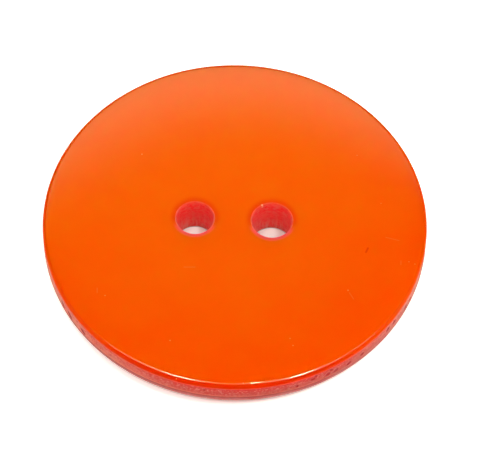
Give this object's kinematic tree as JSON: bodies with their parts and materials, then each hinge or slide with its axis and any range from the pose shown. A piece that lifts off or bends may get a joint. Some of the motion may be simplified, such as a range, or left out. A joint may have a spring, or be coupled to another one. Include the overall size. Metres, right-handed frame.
{
  "type": "sew-through button",
  "caption": "Round sew-through garment button with a glossy crowned face, a matte turned wall, a rounded flat back and drilled thread holes.",
  "frame": {"origin": "middle of the flat back, on the axis of the disc", "axes": "+Z along the axis of the disc, out of the crowned face; +X from the left thread hole to the right one"},
  "size_m": [0.028, 0.028, 0.0033],
  "materials": {
    "orange_resin": "polished face, matte turned wall and drilled holes"
  },
  "bodies": {
    "root": {"button": "orange_resin"}
  },
  "joints": []
}
